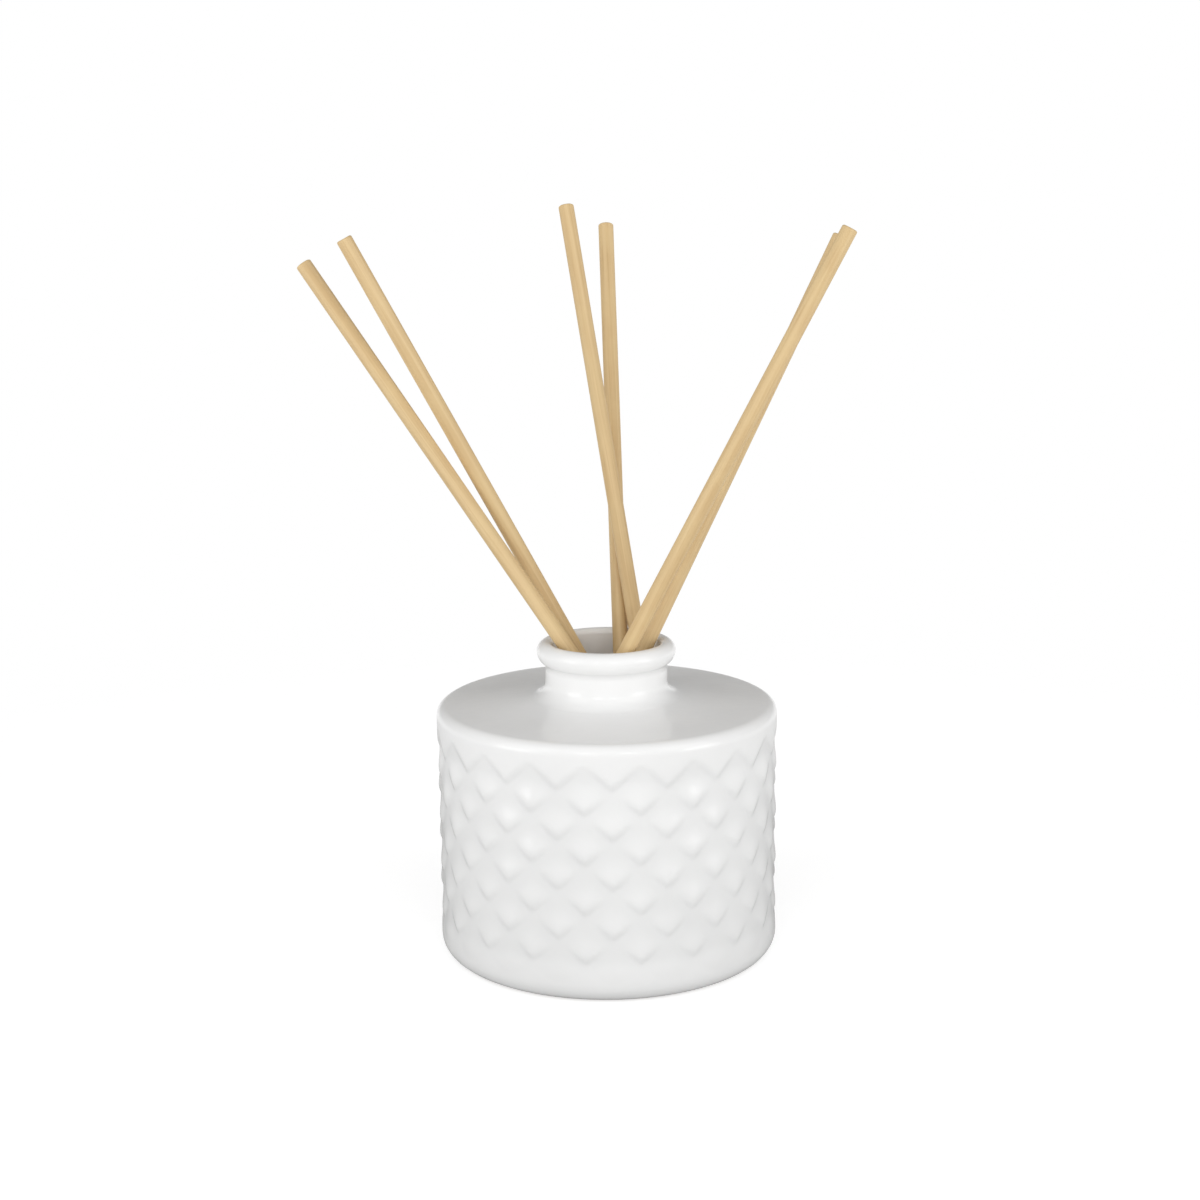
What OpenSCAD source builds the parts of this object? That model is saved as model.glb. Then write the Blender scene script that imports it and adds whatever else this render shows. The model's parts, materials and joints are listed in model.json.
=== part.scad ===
// Ceramic reed diffuser: a glazed jar with a short lipped neck, the fragrance oil in it,
// and six straight reeds that stand in the oil and lean on the rim of the neck.
// Millimetres. The origin is the centre of the jar's foot and +Z is up.

/* [Jar] */
// Outside diameter of the jar's body
jar_d = 85; // [84:0.5:88]
// Height of the shoulder's edge above the foot
shoulder_h = 63.5; // [62:0.5:64]
// Rise of the shoulder from its edge to the neck
shoulder_rise = 1.5; // [0.5:0.5:3]
// Thickness of the jar's side wall
wall = 4.5; // [3:0.5:5]
// Thickness of the jar's floor and of its shoulder
floor_t = 5; // [3.5:0.5:5]
// Radius of the round between the shoulder and the side
shoulder_round = 2.5; // [2:0.5:5]
// Radius of the round between the side and the foot
base_round = 4.5; // [3:0.5:6]

/* [Foot] */
// Diameter of the hollow under the jar, inside the foot ring
foot_d = 62; // [50:1:66]
// Depth of the hollow under the jar
foot_recess = 1.2; // [0.5:0.1:1.5]

/* [Neck] */
// Outside diameter of the neck
neck_d = 30.4; // [30.2:0.1:31]
// Diameter of the mouth, the clear bore through the neck
mouth_d = 27; // [26.8:0.1:27.4]
// Outside diameter of the rolled lip
lip_d = 34.6; // [34:0.1:36]
// Height of the top of the lip above the foot
jar_h = 79; // [78:0.5:80]
// Radius of the concave round between the neck and the shoulder
neck_round = 4; // [2:0.5:5]

/* [Oil] */
// Height of the surface of the oil above the foot
oil_level = 34; // [20:1:44]
// Room between the oil and what it touches
oil_gap = 0.25; // [0.2:0.05:0.3]

/* [Reeds] */
// Diameter of a reed
reed_d = 4; // [3:0.1:4]
// Length of a reed
reed_len = 188; // [160:1:200]
// Size of the eased edge at each end of a reed
reed_ease = 0.3; // [0.1:0.1:0.5]

/* [Hidden] */
$fn = 96;

glaze_colour = "white";
oil_colour = [0.93, 0.82, 0.5];
reed_colour = [0.87, 0.76, 0.57];

jar_r = jar_d / 2;
neck_r = neck_d / 2;
mouth_r = mouth_d / 2;
lip_r = lip_d / 2;
root_z = shoulder_h + shoulder_rise;

// The rolled lip is a tight round over a slack one, both touching the lip's widest circle.
lip_top_round = 2.4;
lip_under_round = 3.6;
mouth_round = 1.4;
lip_z = jar_h - lip_top_round;

// How far shapes that are joined or cut run past each other.
lap = 1;

// The room inside the jar.
room_r = jar_r - wall;
room_top = shoulder_h - floor_t;
room_low_round = 8;
room_high_round = 5;

// Each reed: where its lower end's centre stands, how far it leans from upright,
// and the compass angle, from +X towards +Y, that it leans to.
reed_feet = [
    [31.5, -11.5, 17],
    [26, 8, 12],
    [19.5, -14, 7],
    [5.5, -20.5, 6.5],
    [-29.5, -11.5, 13.5],
    [-23.5, -7, 9]
];
reed_leans = [34.5, 28, 19, 23, 28, 26.5];
reed_bearings = [169, 184, 118, 93.5, 3.5, 12.5];

// Half of a drum's section, from the axis outwards, with its two outer corners round.
module drum_half(r, z_low, z_high, low_round, high_round) {
    translate([0, z_low])
        square([r - low_round, low_round]);
    translate([0, z_low + low_round])
        square([r, z_high - z_low - low_round - high_round]);
    translate([0, z_high - high_round])
        square([r - high_round, high_round]);
    translate([r - low_round, z_low + low_round])
        circle(low_round);
    translate([r - high_round, z_high - high_round])
        circle(high_round);
}

// The shoulder's slope, from the top of the drum's edge up to the round at the neck.
module slope_half() {
    edge_r = jar_r - shoulder_round;
    polygon([
        [0, shoulder_h - lap],
        [edge_r, shoulder_h - lap],
        [edge_r, shoulder_h],
        [neck_r + neck_round, root_z],
        [0, root_z]
    ]);
}

// The concave round where the neck grows out of the shoulder.
module neck_root_half() {
    difference() {
        translate([neck_r - lap, root_z - lap])
            square([neck_round + lap, neck_round + lap]);
        translate([neck_r + neck_round, root_z + neck_round])
            circle(neck_round);
    }
}

// The neck and its rolled lip.
module neck_half() {
    translate([0, shoulder_h])
        square([neck_r, lip_z - shoulder_h]);
    translate([0, lip_z])
        square([lip_r - lip_top_round, lip_top_round]);
    translate([lip_r - lip_top_round, lip_z])
        circle(lip_top_round);
    intersection() {
        translate([lip_r - lip_under_round, lip_z])
            circle(lip_under_round);
        translate([0, lip_z - lip_under_round])
            square([lip_r, lip_under_round]);
    }
}

// The outside of the jar, as if it were solid.
module jar_outside_half() {
    drum_half(jar_r, 0, shoulder_h, base_round, shoulder_round);
    slope_half();
    neck_root_half();
    neck_half();
}

// The room inside the jar, with the mouth that leads into it.
module jar_inside_half() {
    drum_half(room_r, floor_t, room_top, room_low_round, room_high_round);
    translate([0, room_top - lap])
        square([mouth_r, jar_h]);
    difference() {
        translate([mouth_r - lap, jar_h - mouth_round])
            square([mouth_round + lap, mouth_round + lap]);
        translate([mouth_r + mouth_round, jar_h - mouth_round])
            circle(mouth_round);
    }
}

module ceramic_jar() {
    color(glaze_colour)
        difference() {
            rotate_extrude()
                difference() {
                    jar_outside_half();
                    jar_inside_half();
                }
            translate([0, 0, -lap])
                cylinder(d = foot_d, h = foot_recess + lap);
        }
}

// Puts its children at reed number i's lower end, with +Z along that reed.
module at_reed(i) {
    translate(reed_feet[i])
        rotate([0, reed_leans[i], reed_bearings[i]])
            children();
}

// The oil fills the bottom of the room and leaves a channel for each reed. Each channel is
// turned a quarter about its own axis, which keeps its seam off the seam of the oil's side.
module fragrance_oil() {
    color(oil_colour)
        difference() {
            rotate_extrude()
                intersection() {
                    drum_half(room_r - oil_gap, floor_t + oil_gap, room_top, room_low_round, room_high_round);
                    square([room_r, oil_level]);
                }
            for (i = [0 : len(reed_feet) - 1])
                at_reed(i)
                    translate([0, 0, -oil_gap])
                        rotate([0, 0, 90])
                            cylinder(d = reed_d + 2 * oil_gap, h = reed_len);
        }
}

module reed(i) {
    color(reed_colour)
        at_reed(i)
            rotate_extrude()
                polygon([
                    [0, 0],
                    [reed_d / 2 - reed_ease, 0],
                    [reed_d / 2, reed_ease],
                    [reed_d / 2, reed_len - reed_ease],
                    [reed_d / 2 - reed_ease, reed_len],
                    [0, reed_len]
                ]);
}

module reed_1() { reed(0); }
module reed_2() { reed(1); }
module reed_3() { reed(2); }
module reed_4() { reed(3); }
module reed_5() { reed(4); }
module reed_6() { reed(5); }

ceramic_jar();
fragrance_oil();
reed_1();
reed_2();
reed_3();
reed_4();
reed_5();
reed_6();
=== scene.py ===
import json
import math
import bmesh
import bpy
from mathutils import Matrix, Vector


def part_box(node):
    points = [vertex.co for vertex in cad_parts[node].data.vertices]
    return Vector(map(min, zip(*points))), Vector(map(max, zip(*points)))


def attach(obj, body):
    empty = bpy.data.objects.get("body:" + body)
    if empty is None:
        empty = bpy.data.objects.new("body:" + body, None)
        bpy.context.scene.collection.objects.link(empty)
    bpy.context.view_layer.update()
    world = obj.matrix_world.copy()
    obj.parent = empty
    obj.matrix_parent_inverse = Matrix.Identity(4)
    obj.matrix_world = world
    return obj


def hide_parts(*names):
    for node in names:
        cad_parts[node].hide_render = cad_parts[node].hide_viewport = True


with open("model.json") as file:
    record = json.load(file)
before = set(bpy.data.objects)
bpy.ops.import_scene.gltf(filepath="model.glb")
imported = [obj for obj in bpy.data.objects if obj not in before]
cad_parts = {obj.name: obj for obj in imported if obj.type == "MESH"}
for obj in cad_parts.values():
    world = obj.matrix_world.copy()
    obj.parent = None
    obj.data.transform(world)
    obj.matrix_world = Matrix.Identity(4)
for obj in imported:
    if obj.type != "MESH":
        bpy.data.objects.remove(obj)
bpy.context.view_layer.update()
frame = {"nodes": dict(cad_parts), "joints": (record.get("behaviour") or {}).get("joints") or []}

# ---------------------------------------------------------------------------
# The jar. It is slip-cast in one piece, dipped in white glaze and fired standing on its bare
# foot ring. Its section is turned round the axis, and a modifier then presses the quilted
# diamonds into the outer wall.

MM = 0.001
jar_low, jar_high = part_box("ceramic_jar")
jar_r = (jar_high[0] - jar_low[0]) / 2 / MM
lip_top = jar_high[2] / MM

# Sizes of the section, in millimetres.
wall = 4.5
floor_t = 5.0
foot_r = 31.0
foot_recess = 1.2
foot_inner_round = 0.6
foot_edge_round = 0.5
base_round = 4.5
shoulder_h = 63.5
shoulder_round = 2.5
shoulder_rise = 1.5
neck_r = 15.2
neck_round = 4.0
lip_r = 17.3
lip_top_round = 2.4
lip_under_round = 3.6
mouth_r = 13.5
mouth_round = 1.4
room_low_round = 8.0
room_high_round = 5.0
room_mouth_round = 1.0

# The quilt of diamonds: sizes in millimetres, its turn in degrees from the front, and how far
# down each diamond its valley ends and its crest lies, as shares of the diamond.
columns = 20
points_per_column = 24
row_height = 12.2
first_row_z = 52.1
relief_turn = 1.55
relief_depth = 0.54
valley_share = 0.12
crest_share = 0.8
wall_unevenness = 0.12

# Patches of the uneven wall per metre, and the share of the jar's radius past which a point is
# on the outside of the wall.
uneven_patches = 45.0
outside_share = 0.93

# Colours of the glaze where it is even, thin and pooled, and of the clay without it.
glaze_even = (0.87, 0.87, 0.865, 1)
glaze_thin = (0.895, 0.895, 0.89, 1)
glaze_pooled = (0.80, 0.81, 0.805, 1)
bare_clay = (0.66, 0.60, 0.52, 1)


def arc(centre, radius, start, end, steps):
    """Points round a part of a circle, angles in degrees, without its first point."""
    points = []
    for i in range(1, steps + 1):
        angle = math.radians(start + (end - start) * i / steps)
        points.append((centre[0] + radius * math.cos(angle), centre[1] + radius * math.sin(angle)))
    return points


def run(start, end, steps):
    """Points along a straight stretch, without its first point."""
    return [
        (start[0] + (end[0] - start[0]) * i / steps, start[1] + (end[1] - start[1]) * i / steps)
        for i in range(1, steps + 1)
    ]


def jar_section():
    """The jar's section from the middle of its underside, up the outside and down the inside."""
    lip_z = lip_top - lip_top_round
    root_z = shoulder_h + shoulder_rise
    under_centre = (lip_r - lip_under_round, lip_z)
    under_angle = -math.degrees(math.acos((neck_r - under_centre[0]) / lip_under_round))
    under_z = lip_z + lip_under_round * math.sin(math.radians(under_angle))
    room_r = jar_r - wall
    room_top = shoulder_h - floor_t
    edge = (jar_r - shoulder_round, shoulder_h)
    hollow_r = foot_r - foot_inner_round
    tread_r = foot_r + foot_edge_round
    room_mouth_r = mouth_r + room_mouth_round
    points = [(0.0, foot_recess)]
    points += run(points[-1], (hollow_r, foot_recess), 4)
    points += arc((hollow_r, foot_recess - foot_inner_round), foot_inner_round, 90, 0, 3)
    points += arc((tread_r, foot_edge_round), foot_edge_round, 180, 270, 3)
    points += run((tread_r, 0.0), (jar_r - base_round, 0.0), 3)
    points += arc((jar_r - base_round, base_round), base_round, -90, 0, 8)
    side_low, side_high = base_round, shoulder_h - shoulder_round
    side_steps = round((side_high - side_low) / (row_height / points_per_column))
    points += run((jar_r, side_low), (jar_r, side_high), side_steps)
    points += arc((edge[0], edge[1] - shoulder_round), shoulder_round, 0, 90, 7)
    points += run(edge, (neck_r + neck_round, root_z), 6)
    points += arc((neck_r + neck_round, root_z + neck_round), neck_round, 270, 180, 7)
    points += run((neck_r, root_z + neck_round), (neck_r, under_z), 3)
    points += arc(under_centre, lip_under_round, under_angle, 0, 6)
    points += arc((lip_r - lip_top_round, lip_z), lip_top_round, 0, 90, 8)
    points += arc((mouth_r + mouth_round, lip_top - mouth_round), mouth_round, 90, 180, 5)
    points += run((mouth_r, lip_top - mouth_round), (mouth_r, room_top + room_mouth_round), 5)
    points += arc((room_mouth_r, room_top + room_mouth_round), room_mouth_round, 180, 270, 3)
    points += run((room_mouth_r, room_top), (room_r - room_high_round, room_top), 3)
    points += arc((room_r - room_high_round, room_top - room_high_round), room_high_round, 90, 0, 4)
    points += run((room_r, room_top - room_high_round), (room_r, floor_t + room_low_round), 5)
    points += arc((room_r - room_low_round, floor_t + room_low_round), room_low_round, 0, -90, 5)
    points += run((room_r - room_low_round, floor_t), (0.0, floor_t), 4)
    return points


def turned_mesh(name, section, around):
    """A closed mesh made by turning a section, in millimetres, round the Z axis."""
    mesh = bmesh.new()
    rings = []
    for radius, height in section:
        if radius < 1e-6:
            rings.append([mesh.verts.new((0.0, 0.0, height * MM))])
            continue
        rings.append([
            mesh.verts.new((
                radius * MM * math.cos(2 * math.pi * i / around),
                radius * MM * math.sin(2 * math.pi * i / around),
                height * MM,
            ))
            for i in range(around)
        ])
    for low, high in zip(rings, rings[1:]):
        for i in range(around):
            j = (i + 1) % around
            corners = [low[i % len(low)], low[j % len(low)], high[j % len(high)], high[i % len(high)]]
            mesh.faces.new(list(dict.fromkeys(corners)))
    bmesh.ops.remove_doubles(mesh, verts=mesh.verts, dist=1e-7)
    bmesh.ops.recalc_face_normals(mesh, faces=mesh.faces)
    data = bpy.data.meshes.new(name)
    mesh.to_mesh(data)
    mesh.free()
    data.shade_smooth()
    return data


def feed(tree, socket, value):
    """Links a socket to an input, or sets the input to a plain value."""
    if isinstance(value, bpy.types.NodeSocket):
        tree.links.new(value, socket)
    else:
        socket.default_value = value


def maths(tree, operation, *values):
    """A Math node's result."""
    node = tree.nodes.new("ShaderNodeMath")
    node.operation = operation
    for socket, value in zip(node.inputs, values):
        feed(tree, socket, value)
    return node.outputs[0]


def vector(tree, operation, *values):
    """A Vector Math node's result."""
    node = tree.nodes.new("ShaderNodeVectorMath")
    node.operation = operation
    sockets = [node.inputs["Vector"], node.inputs["Scale"]] if operation == "SCALE" else node.inputs
    for socket, value in zip(sockets, values):
        feed(tree, socket, value)
    return node.outputs["Value"] if operation == "LENGTH" else node.outputs["Vector"]


def fade(tree, value, low, high):
    """0 below low and 1 above high, with a smooth step between."""
    node = tree.nodes.new("ShaderNodeMapRange")
    node.interpolation_type = "SMOOTHSTEP"
    feed(tree, node.inputs["Value"], value)
    feed(tree, node.inputs["From Min"], low)
    feed(tree, node.inputs["From Max"], high)
    return node.outputs["Result"]


def noise(tree, where, scale, detail):
    """A Noise Texture's value."""
    node = tree.nodes.new("ShaderNodeTexNoise")
    feed(tree, node.inputs["Vector"], where)
    node.inputs["Scale"].default_value = scale
    node.inputs["Detail"].default_value = detail
    return node.outputs[0]


def open_tree(name, inputs):
    """A Geometry Nodes tree with a geometry in and out and the named inputs: (name, type, value)."""
    tree = bpy.data.node_groups.new(name, "GeometryNodeTree")
    tree.interface.new_socket("Geometry", in_out="INPUT", socket_type="NodeSocketGeometry")
    tree.interface.new_socket("Geometry", in_out="OUTPUT", socket_type="NodeSocketGeometry")
    for label, kind, value in inputs:
        socket = tree.interface.new_socket(label, in_out="INPUT", socket_type="NodeSocket" + kind)
        if value is not None:
            socket.default_value = value
    start = tree.nodes.new("NodeGroupInput")
    return tree, {s.name: s for s in start.outputs if s.name}


def keep_value(tree, geometry, name, value, kind="FLOAT"):
    """Stores a value on every point under a name that the material can read."""
    node = tree.nodes.new("GeometryNodeStoreNamedAttribute")
    node.data_type = kind
    node.domain = "POINT"
    feed(tree, node.inputs["Geometry"], geometry)
    node.inputs["Name"].default_value = name
    feed(tree, node.inputs["Value"], value)
    return node.outputs["Geometry"]


def close_tree(tree, geometry, material):
    """Ends a tree in smooth faces, real geometry and one material."""
    smooth = tree.nodes.new("GeometryNodeSetShadeSmooth")
    real = tree.nodes.new("GeometryNodeRealizeInstances")
    finish = tree.nodes.new("GeometryNodeSetMaterial")
    end = tree.nodes.new("NodeGroupOutput")
    feed(tree, smooth.inputs["Geometry"], geometry)
    feed(tree, real.inputs["Geometry"], smooth.outputs["Geometry"])
    feed(tree, finish.inputs["Geometry"], real.outputs["Geometry"])
    feed(tree, finish.inputs["Material"], material)
    feed(tree, end.inputs["Geometry"], finish.outputs["Geometry"])


def relief_tree():
    """Presses a quilt of diamonds into a round wall that stands on the Z axis."""
    tree, given = open_tree("quilted_relief", [
        ("Columns", "Int", columns),
        ("Turn", "Float", 0.0),
        ("Row Height", "Float", row_height * MM),
        ("First Row", "Float", first_row_z * MM),
        ("Depth", "Float", 1.0 * MM),
        ("Valley", "Float", 0.0),
        ("Crest", "Float", 0.6),
        ("Wall Radius", "Float", jar_r * MM),
        ("Foot Fade Low", "Float", 5.0 * MM),
        ("Foot Fade High", "Float", 11.0 * MM),
        ("Band Fade Low", "Float", (first_row_z + 1.5) * MM),
        ("Band Fade High", "Float", (first_row_z + 8.5) * MM),
        ("Unevenness", "Float", 0.0),
        ("Material", "Material", None),
    ])
    place = tree.nodes.new("GeometryNodeInputPosition").outputs[0]
    parts = tree.nodes.new("ShaderNodeSeparateXYZ")
    feed(tree, parts.inputs[0], place)
    x, y, z = parts.outputs
    # Round the wall in columns, and down it in rows from the lowest corners of the first row.
    angle = maths(tree, "SUBTRACT", maths(tree, "ARCTAN2", y, x), given["Turn"])
    across = maths(tree, "DIVIDE", maths(tree, "MULTIPLY", angle, given["Columns"]), 2 * math.pi)
    down = maths(tree, "DIVIDE", maths(tree, "SUBTRACT", given["First Row"], z), given["Row Height"])
    slant_a = maths(tree, "ADD", down, across)
    slant_b = maths(tree, "SUBTRACT", down, across)
    cell_a = maths(tree, "CEIL", slant_a)
    cell_b = maths(tree, "CEIL", slant_b)
    row = maths(tree, "ADD", cell_a, cell_b)
    in_first_row_or_above = maths(tree, "LESS_THAN", row, 0.5)
    above_first_row = maths(tree, "LESS_THAN", row, -0.5)
    # A diamond rises smoothly from its two upper edges to its crest, and rounds off to its two
    # lower edges. The first row starts from the plain band, so it has no upper edges.
    pillow = 1.0
    for slant, cell in ((slant_a, cell_a), (slant_b, cell_b)):
        part = maths(tree, "ADD", maths(tree, "SUBTRACT", slant, cell), 1.0)
        rise = fade(tree, part, given["Valley"], given["Crest"])
        past = maths(tree, "MAXIMUM", maths(tree, "SUBTRACT", part, given["Crest"]), 0.0)
        past = maths(tree, "DIVIDE", past, maths(tree, "SUBTRACT", 1.0, given["Crest"]))
        fall = maths(tree, "SUBTRACT", 1.0, maths(tree, "MULTIPLY", past, past))
        rise = maths(tree, "MAXIMUM", rise, in_first_row_or_above)
        fall = maths(tree, "MAXIMUM", fall, above_first_row)
        pillow = maths(tree, "MULTIPLY", pillow, maths(tree, "MULTIPLY", rise, fall))
    groove = maths(tree, "SUBTRACT", 1.0, pillow)
    groove = maths(tree, "MULTIPLY", groove, fade(tree, z, given["Foot Fade Low"], given["Foot Fade High"]))
    band = fade(tree, z, given["Band Fade Low"], given["Band Fade High"])
    groove = maths(tree, "MULTIPLY", groove, maths(tree, "SUBTRACT", 1.0, band))
    flat = tree.nodes.new("ShaderNodeCombineXYZ")
    feed(tree, flat.inputs[0], x)
    feed(tree, flat.inputs[1], y)
    radius = vector(tree, "LENGTH", flat.outputs[0])
    outside = maths(tree, "MULTIPLY", given["Wall Radius"], outside_share)
    on_wall = maths(tree, "GREATER_THAN", radius, outside)
    groove = maths(tree, "MULTIPLY", groove, on_wall)
    uneven = maths(tree, "SUBTRACT", noise(tree, place, uneven_patches, 1.0), 0.5)
    push = maths(tree, "MULTIPLY", uneven, given["Unevenness"])
    push = maths(tree, "MULTIPLY", push, on_wall)
    push = maths(tree, "SUBTRACT", push, maths(tree, "MULTIPLY", groove, given["Depth"]))
    outward = vector(tree, "NORMALIZE", flat.outputs[0])
    move = tree.nodes.new("GeometryNodeSetPosition")
    feed(tree, move.inputs["Geometry"], given["Geometry"])
    feed(tree, move.inputs["Offset"], vector(tree, "SCALE", outward, push))
    shaped = keep_value(tree, move.outputs["Geometry"], "groove", groove)
    close_tree(tree, shaped, given["Material"])
    return tree


def finished_piece(name, base, tree, values):
    """Runs a tree on a mesh and leaves the result as a plain mesh object."""
    rough = bpy.data.objects.new(name + "_rough", base)
    bpy.context.collection.objects.link(rough)
    modifier = rough.modifiers.new("shape", "NODES")
    modifier.node_group = tree
    identifiers = {i.name: i.identifier for i in tree.interface.items_tree if i.in_out == "INPUT"}
    for label, value in values.items():
        modifier[identifiers[label]] = value
    shaped = bpy.data.meshes.new_from_object(rough.evaluated_get(bpy.context.evaluated_depsgraph_get()))
    shaped.name = name
    bpy.data.objects.remove(rough)
    piece = bpy.data.objects.new(name, shaped)
    bpy.context.collection.objects.link(piece)
    return piece


def open_material(name):
    """A material with its Principled shader, and its node tree."""
    material = bpy.data.materials.new(name)
    material.use_nodes = True
    return material, material.node_tree, material.node_tree.nodes["Principled BSDF"]


def blend_colour(tree, amount, low, high):
    """A mix of two colours."""
    node = tree.nodes.new("ShaderNodeMix")
    node.data_type = "RGBA"
    feed(tree, node.inputs["Factor"], amount)
    feed(tree, node.inputs["A"], low)
    feed(tree, node.inputs["B"], high)
    return node.outputs["Result"]


def object_place(tree):
    """Where a point of the piece is, in metres."""
    return tree.nodes.new("ShaderNodeTexCoord").outputs["Object"]


def stored(tree, name, kind="Fac"):
    """A value that a Geometry Nodes tree stored on the piece."""
    node = tree.nodes.new("ShaderNodeAttribute")
    node.attribute_name = name
    return node.outputs[kind]


def bump(tree, height, distance, strength=1.0):
    """A Bump node's normal."""
    node = tree.nodes.new("ShaderNodeBump")
    node.inputs["Strength"].default_value = strength
    node.inputs["Distance"].default_value = distance
    feed(tree, node.inputs["Height"], height)
    return node.outputs["Normal"]


def mottle_group():
    """Soft uneven patches for any finish: a mask from 0 to 1 at the given size and sharpness."""
    group = bpy.data.node_groups.new("soft_mottle", "ShaderNodeTree")
    for label, kind in (("Place", "Vector"), ("Scale", "Float"), ("Low", "Float"), ("High", "Float")):
        group.interface.new_socket(label, in_out="INPUT", socket_type="NodeSocket" + kind)
    group.interface.new_socket("Mask", in_out="OUTPUT", socket_type="NodeSocketFloat")
    given = group.nodes.new("NodeGroupInput").outputs
    patches = group.nodes.new("ShaderNodeTexNoise")
    patches.inputs["Detail"].default_value = 3.0
    feed(group, patches.inputs["Vector"], given["Place"])
    feed(group, patches.inputs["Scale"], given["Scale"])
    mask = fade(group, patches.outputs["Fac"], given["Low"], given["High"])
    feed(group, group.nodes.new("NodeGroupOutput").inputs["Mask"], mask)
    return group


soft_mottle = mottle_group()


def mottled(tree, place, scale, low=0.25, high=0.75):
    """The shared mottle, placed in a material with its own values."""
    node = tree.nodes.new("ShaderNodeGroup")
    node.node_tree = soft_mottle
    for label, value in (("Place", place), ("Scale", scale), ("Low", low), ("High", high)):
        feed(tree, node.inputs[label], value)
    return node.outputs["Mask"]


def white_glaze():
    """White glaze: thicker and cooler in the grooves, softly uneven, and bare clay on the foot."""
    material, tree, shader = open_material("white_glaze")
    place = object_place(tree)
    cloud = mottled(tree, place, 60.0)
    ripple = noise(tree, place, 420.0, 2.0)
    height = tree.nodes.new("ShaderNodeSeparateXYZ")
    feed(tree, height.inputs[0], place)
    bare = maths(tree, "SUBTRACT", 1.0, fade(tree, height.outputs[2], 0.25 * MM, 0.7 * MM))
    groove = stored(tree, "groove")
    colour = blend_colour(tree, cloud, glaze_even, glaze_thin)
    colour = blend_colour(tree, maths(tree, "MULTIPLY", groove, 0.2), colour, glaze_pooled)
    colour = blend_colour(tree, bare, colour, bare_clay)
    rough = maths(tree, "ADD", maths(tree, "MULTIPLY", cloud, 0.08), 0.14)
    rough = maths(tree, "MAXIMUM", rough, maths(tree, "MULTIPLY", bare, 0.8))
    feed(tree, shader.inputs["Base Color"], colour)
    feed(tree, shader.inputs["Roughness"], rough)
    feed(tree, shader.inputs["Normal"], bump(tree, ripple, 0.02 * MM))
    return material


jar = finished_piece(
    "jar_with_relief",
    turned_mesh("jar_turned", jar_section(), columns * points_per_column),
    relief_tree(),
    {
        "Turn": math.radians(-90 + relief_turn),
        "Depth": relief_depth * MM,
        "Valley": valley_share,
        "Crest": crest_share,
        "Unevenness": wall_unevenness * MM,
        "Material": white_glaze(),
    },
)
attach(jar, "jar")
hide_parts("ceramic_jar")

# ---------------------------------------------------------------------------
# The fragrance oil. It lies in the bottom of the jar, clear and amber, and the reeds stand in it.
# It takes the shape that the jar and the reeds leave it.

oil_deep = (0.86, 0.62, 0.24, 1)
oil_light = (0.92, 0.72, 0.34, 1)


def amber_oil():
    """Clear amber oil."""
    material, tree, shader = open_material("amber_oil")
    cloud = mottled(tree, object_place(tree), 25.0)
    colour = blend_colour(tree, cloud, oil_deep, oil_light)
    feed(tree, shader.inputs["Base Color"], colour)
    shader.inputs["Roughness"].default_value = 0.03
    shader.inputs["IOR"].default_value = 1.45
    shader.inputs["Transmission Weight"].default_value = 0.6
    return material


frame["nodes"]["fragrance_oil"].material_slots[0].material = amber_oil()

# ---------------------------------------------------------------------------
# The six reeds. Each is a straight length of rattan core: fibrous, faintly fluted, sawn off
# square with its edges worn soft, and stained by the oil at its lower end.

# Sizes in millimetres, and where each reed's lower end stands.
reed_length = 188.0
reed_radius = 2.0
oiled_up_to = 22.0
dry_from = 50.0
reed_feet = [
    (31.5, -11.5, 17.0),
    (26.0, 8.0, 12.0),
    (19.5, -14.0, 7.0),
    (5.5, -20.5, 6.5),
    (-29.5, -11.5, 13.5),
    (-23.5, -7.0, 9.0),
]

# Waves of the fluting per metre, across the reed and along it.
flutes_across = 900.0
flutes_along = 18.0

# Colours of the rattan core, its darkest fibres, its paler patches, its oiled foot and its pores.
core_tan = (0.618, 0.434, 0.214, 1)
core_pale = (0.70, 0.514, 0.274, 1)
fibre_brown = (0.50, 0.33, 0.15, 1)
patch_pale = (0.72, 0.55, 0.29, 1)
oiled_brown = (0.42, 0.24, 0.09, 1)
pore_brown = (0.16, 0.09, 0.04, 1)


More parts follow.
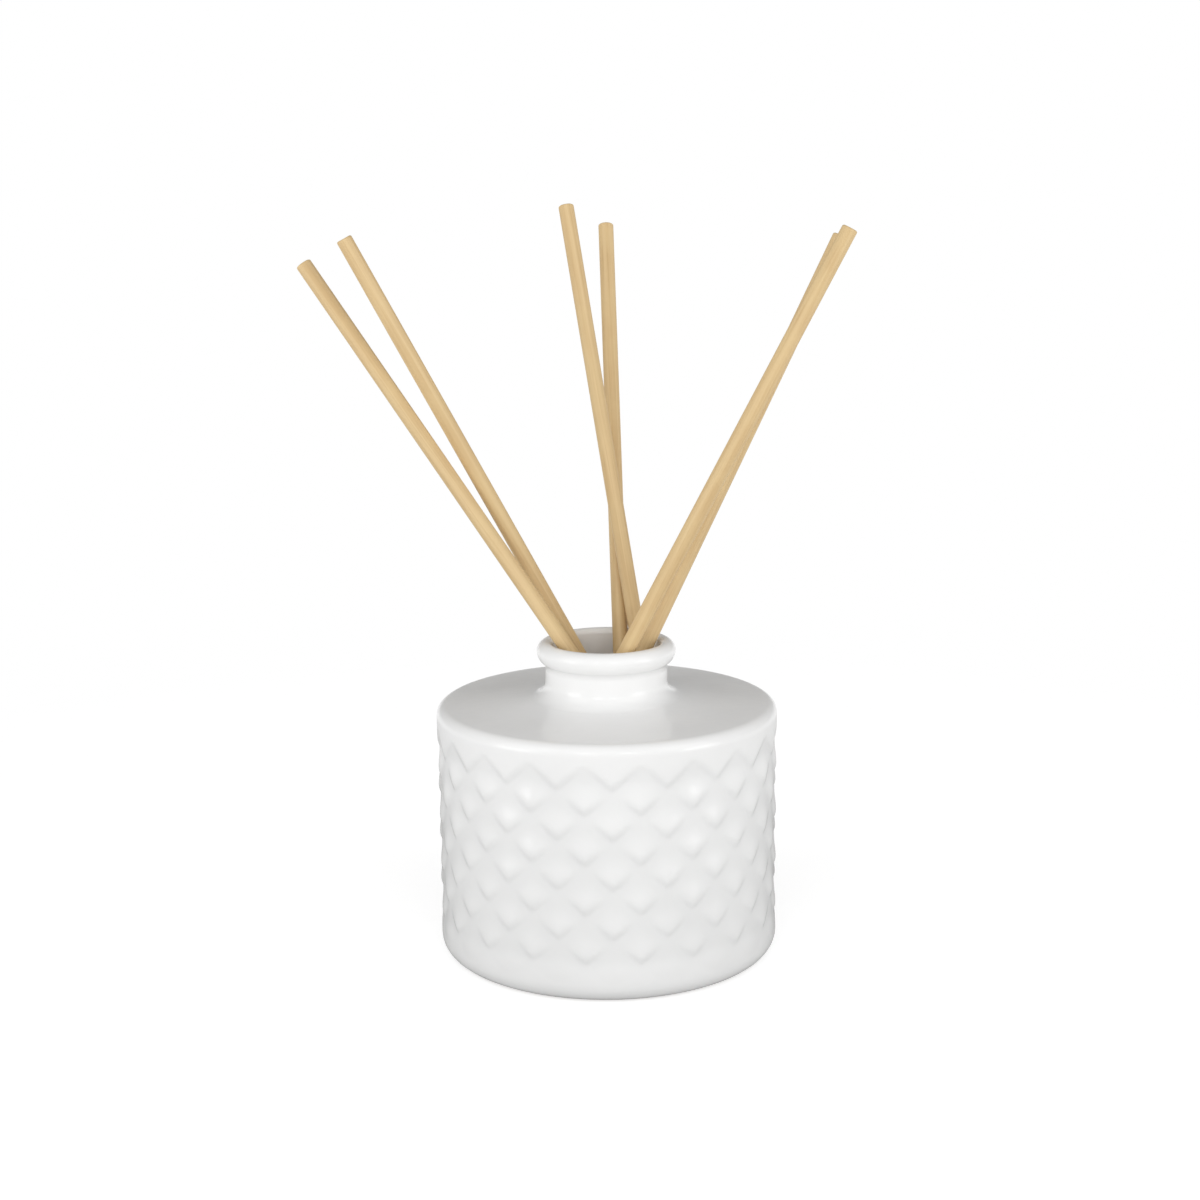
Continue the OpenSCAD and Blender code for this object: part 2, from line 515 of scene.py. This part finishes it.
def reed_tree():
    """A reed along its own Z axis from 0 upwards, then stood at its foot along its own lean."""
    tree, given = open_tree("rattan_reed", [
        ("Length", "Float", reed_length * MM),
        ("Radius", "Float", reed_radius * MM),
        ("Sides", "Int", 40),
        ("Rings", "Int", 130),
        ("End Ease", "Float", 0.35 * MM),
        ("Flute Depth", "Float", 0.06 * MM),
        ("Seed", "Float", 0.0),
        ("Foot", "Vector", (0.0, 0.0, 0.0)),
        ("Turn", "Rotation", None),
        ("Material", "Material", None),
    ])
    half = maths(tree, "MULTIPLY", given["Length"], 0.5)
    stick = tree.nodes.new("GeometryNodeMeshCylinder")
    stick.fill_type = "TRIANGLE_FAN"
    feed(tree, stick.inputs["Vertices"], given["Sides"])
    feed(tree, stick.inputs["Side Segments"], given["Rings"])
    stick.inputs["Fill Segments"].default_value = 5
    feed(tree, stick.inputs["Radius"], given["Radius"])
    feed(tree, stick.inputs["Depth"], given["Length"])
    place = tree.nodes.new("GeometryNodeInputPosition").outputs[0]
    parts = tree.nodes.new("ShaderNodeSeparateXYZ")
    feed(tree, parts.inputs[0], place)
    x, y, z = parts.outputs
    # Crowd the rings towards the two ends, where the edges are worn round.
    share = maths(tree, "MULTIPLY", maths(tree, "DIVIDE", z, half), math.pi / 2)
    along = maths(tree, "MULTIPLY", maths(tree, "SINE", share), half)
    to_end = maths(tree, "SUBTRACT", half, maths(tree, "ABSOLUTE", along))
    near_end = maths(tree, "MAXIMUM", maths(tree, "SUBTRACT", given["End Ease"], to_end), 0.0)
    worn = maths(tree, "DIVIDE", maths(tree, "MULTIPLY", near_end, near_end), given["End Ease"])
    seed_shift = tree.nodes.new("ShaderNodeCombineXYZ")
    for socket in seed_shift.inputs:
        feed(tree, socket, given["Seed"])
    round_it = tree.nodes.new("ShaderNodeCombineXYZ")
    feed(tree, round_it.inputs[0], maths(tree, "MULTIPLY", x, flutes_across))
    feed(tree, round_it.inputs[1], maths(tree, "MULTIPLY", y, flutes_across))
    feed(tree, round_it.inputs[2], maths(tree, "MULTIPLY", along, flutes_along))
    flutes = noise(tree, vector(tree, "ADD", round_it.outputs[0], seed_shift.outputs[0]), 1.0, 2.0)
    cut = maths(tree, "ADD", worn, maths(tree, "MULTIPLY", flutes, given["Flute Depth"]))
    flat = tree.nodes.new("ShaderNodeCombineXYZ")
    feed(tree, flat.inputs[0], x)
    feed(tree, flat.inputs[1], y)
    on_side = maths(tree, "DIVIDE", vector(tree, "LENGTH", flat.outputs[0]), given["Radius"])
    cut_share = maths(tree, "DIVIDE", maths(tree, "MULTIPLY", cut, on_side), given["Radius"])
    narrow = maths(tree, "SUBTRACT", 1.0, cut_share)
    local = tree.nodes.new("ShaderNodeCombineXYZ")
    feed(tree, local.inputs[0], maths(tree, "MULTIPLY", x, narrow))
    feed(tree, local.inputs[1], maths(tree, "MULTIPLY", y, narrow))
    feed(tree, local.inputs[2], maths(tree, "ADD", along, half))
    shape = tree.nodes.new("GeometryNodeSetPosition")
    feed(tree, shape.inputs["Geometry"], stick.outputs["Mesh"])
    feed(tree, shape.inputs["Position"], local.outputs[0])
    marked = keep_value(tree, shape.outputs["Geometry"], "along_reed", place, "FLOAT_VECTOR")
    marked = keep_value(tree, marked, "reed_seed", given["Seed"])
    from_middle = maths(tree, "ABSOLUTE", maths(tree, "SUBTRACT", z, half))
    at_end = maths(tree, "GREATER_THAN", from_middle, maths(tree, "SUBTRACT", half, 0.01 * MM))
    marked = keep_value(tree, marked, "sawn_end", at_end)
    stand = tree.nodes.new("GeometryNodeTransform")
    feed(tree, stand.inputs["Geometry"], marked)
    feed(tree, stand.inputs["Translation"], given["Foot"])
    feed(tree, stand.inputs["Rotation"], given["Turn"])
    close_tree(tree, stand.outputs["Geometry"], given["Material"])
    return tree


def rattan():
    """Rattan core: pale tan with long fibres, open pores on the sawn ends, and an oiled foot."""
    material, tree, shader = open_material("rattan")
    local = stored(tree, "along_reed", "Vector")
    seed = stored(tree, "reed_seed")
    parts = tree.nodes.new("ShaderNodeSeparateXYZ")
    feed(tree, parts.inputs[0], local)
    x, y, z = parts.outputs
    shift = maths(tree, "MULTIPLY", seed, 7.3)

    def fibres(across, lengthwise, detail):
        """Long fibres, so many to the metre across the reed and along it."""
        stretched = tree.nodes.new("ShaderNodeCombineXYZ")
        wide_x = maths(tree, "MULTIPLY", x, across)
        wide_y = maths(tree, "MULTIPLY", y, across)
        # The slant keeps the noise's flat layers from lying square across the reed.
        slant_x = maths(tree, "MULTIPLY", wide_x, 0.8)
        slant_y = maths(tree, "MULTIPLY", wide_y, 1.3)
        slanted = maths(tree, "ADD", slant_x, slant_y)
        feed(tree, stretched.inputs[0], maths(tree, "ADD", wide_x, shift))
        feed(tree, stretched.inputs[1], wide_y)
        lengths = maths(tree, "MULTIPLY", z, lengthwise)
        feed(tree, stretched.inputs[2], maths(tree, "ADD", lengths, slanted))
        return noise(tree, stretched.outputs[0], 1.0, detail)

    fine = fibres(2200.0, 60.0, 1.5)
    broad = fibres(700.0, 22.0, 2.0)
    patch = mottled(tree, object_place(tree), 90.0, 0.4, 0.7)
    end = stored(tree, "sawn_end")
    pores = tree.nodes.new("ShaderNodeTexVoronoi")
    feed(tree, pores.inputs["Vector"], local)
    pores.inputs["Scale"].default_value = 3400.0
    open_pore = maths(tree, "SUBTRACT", 1.0, fade(tree, pores.outputs["Distance"], 0.18, 0.34))
    open_pore = maths(tree, "MULTIPLY", open_pore, end)
    colour = blend_colour(tree, fade(tree, broad, 0.3, 0.7), core_tan, core_pale)
    dark_fibre = maths(tree, "MULTIPLY", fade(tree, fine, 0.52, 0.72), 0.34)
    colour = blend_colour(tree, dark_fibre, colour, fibre_brown)
    colour = blend_colour(tree, maths(tree, "MULTIPLY", patch, 0.35), colour, patch_pale)
    oiled = maths(tree, "SUBTRACT", 1.0, fade(tree, z, oiled_up_to * MM, dry_from * MM))
    colour = blend_colour(tree, maths(tree, "MULTIPLY", oiled, 0.55), colour, oiled_brown)
    colour = blend_colour(tree, maths(tree, "MULTIPLY", open_pore, 0.8), colour, pore_brown)
    feed(tree, shader.inputs["Base Color"], colour)
    rough = maths(tree, "ADD", maths(tree, "MULTIPLY", fine, 0.2), 0.5)
    rough = maths(tree, "SUBTRACT", rough, maths(tree, "MULTIPLY", oiled, 0.2))
    feed(tree, shader.inputs["Roughness"], rough)
    relief = maths(tree, "SUBTRACT", fine, maths(tree, "MULTIPLY", open_pore, 1.5))
    feed(tree, shader.inputs["Normal"], bump(tree, relief, 0.05 * MM, 0.7))
    return material


reed_shape = reed_tree()
reed_finish = rattan()
empty_base = bpy.data.meshes.new("reed_base")
for number, (foot, joint) in enumerate(zip(reed_feet, frame["joints"]), start=1):
    name = "reed_%d" % number
    lean = Vector((0, 0, 1)).rotation_difference(Vector(joint["axis"]))
    reed = finished_piece(
        "rattan_" + name,
        empty_base,
        reed_shape,
        {
            "Seed": 3.7 * number,
            "Foot": [c * MM for c in foot],
            "Turn": lean.to_euler(),
            "Material": reed_finish,
        },
    )
    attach(reed, name)
    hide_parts(name)

# ---------------------------------------------------------------------------
# The studio. A pale floor that melts into a white background, wide soft lights in front and to
# both sides, and a camera a little above the lip.

# The floor's radius and the stretch in which it thins out, in metres, and how much it glows.
floor_radius = 0.4
floor_fade = (0.12, 0.34)
floor_glow = 0.65
white = (1, 1, 1, 1)


def pale_floor():
    """White floor that thins out to nothing far from the object."""
    material, tree, shader = open_material("pale_floor")
    shader.inputs["Base Color"].default_value = (0.6, 0.6, 0.6, 1)
    shader.inputs["Roughness"].default_value = 0.9
    shader.inputs["Specular IOR Level"].default_value = 0.0
    shader.inputs["Emission Color"].default_value = white
    seen = tree.nodes.new("ShaderNodeLightPath").outputs["Is Camera Ray"]
    feed(tree, shader.inputs["Emission Strength"], maths(tree, "MULTIPLY", seen, floor_glow))
    flat = tree.nodes.new("ShaderNodeSeparateXYZ")
    feed(tree, flat.inputs[0], object_place(tree))
    across = tree.nodes.new("ShaderNodeCombineXYZ")
    feed(tree, across.inputs[0], flat.outputs[0])
    feed(tree, across.inputs[1], flat.outputs[1])
    away = vector(tree, "LENGTH", across.outputs[0])
    solid = maths(tree, "SUBTRACT", 1.0, fade(tree, away, *floor_fade))
    feed(tree, shader.inputs["Alpha"], solid)
    # The floor's own glow lights nothing, so it isn't sampled as a lamp.
    material.cycles.emission_sampling = "NONE"
    return material


floor_mesh = bmesh.new()
bmesh.ops.create_circle(floor_mesh, cap_ends=True, segments=96, radius=floor_radius)
floor_data = bpy.data.meshes.new("studio_floor")
floor_mesh.to_mesh(floor_data)
floor_mesh.free()
floor = bpy.data.objects.new("studio_floor", floor_data)
bpy.context.collection.objects.link(floor)
floor_data.materials.append(pale_floor())


def soft_light(name, place, target, size, power):
    """A square soft light that faces a point."""
    data = bpy.data.lights.new(name, "AREA")
    data.shape = "RECTANGLE"
    data.size, data.size_y = size
    data.energy = power
    lamp = bpy.data.objects.new(name, data)
    lamp.location = place
    lamp.rotation_euler = (Vector(target) - Vector(place)).to_track_quat("-Z", "Y").to_euler()
    bpy.context.collection.objects.link(lamp)


# Each kind of light stands as a pair: its distance to the side, its y and z in metres, its size
# in metres and its power in watts.
middle = (0.0, 0.0, 0.07)
for name, side, y, z, size, power in (
    ("key", 0.87, -0.6, 0.65, (0.8, 0.8), 1.6),
    ("low", 0.95, -0.5, 0.12, (0.5, 0.4), 1.6),
    ("front", 0.28, -1.08, 0.42, (0.2, 0.2), 0.6),
):
    soft_light(name + "_left", (-side, y, z), middle, size, power)
    soft_light(name + "_right", (side, y, z), middle, size, power)

# The room around: brighter in front than behind and white from below. The camera sees only white.
room_in_front = (0.82, 0.82, 0.82, 1)
room_behind = (0.3, 0.3, 0.3, 1)

world = bpy.data.worlds.new("studio")
bpy.context.scene.world = world
world.use_nodes = True
sky = world.node_tree
backdrop = sky.nodes["Background"]
heading_parts = sky.nodes.new("ShaderNodeSeparateXYZ")
feed(sky, heading_parts.inputs[0], sky.nodes.new("ShaderNodeTexCoord").outputs["Generated"])
upwards = fade(sky, heading_parts.outputs[2], -0.05, 0.15)
rearwards = fade(sky, heading_parts.outputs[1], -0.7, 0.5)
room = blend_colour(sky, rearwards, room_in_front, room_behind)
surround = blend_colour(sky, upwards, white, room)
seen = sky.nodes.new("ShaderNodeLightPath").outputs["Is Camera Ray"]
feed(sky, backdrop.inputs["Color"], blend_colour(sky, seen, surround, white))

# The camera's place in metres, and its turns in degrees.
camera_place = (0.0, -0.4968, 0.1917)
camera_heading = 0.16
camera_downwards = 11.66
camera_roll = -0.59

camera_data = bpy.data.cameras.new("camera")
camera_data.lens = 61.4
camera = bpy.data.objects.new("camera", camera_data)
camera.location = camera_place
heading = Matrix.Rotation(math.radians(camera_heading), 3, "Z")
tilt = Matrix.Rotation(math.radians(90 - camera_downwards), 3, "X")
roll = Matrix.Rotation(math.radians(camera_roll), 3, "Z")
camera.rotation_euler = (heading @ tilt @ roll).to_euler()
bpy.context.collection.objects.link(camera)
bpy.context.scene.camera = camera
bpy.context.scene.view_settings.view_transform = "Standard"
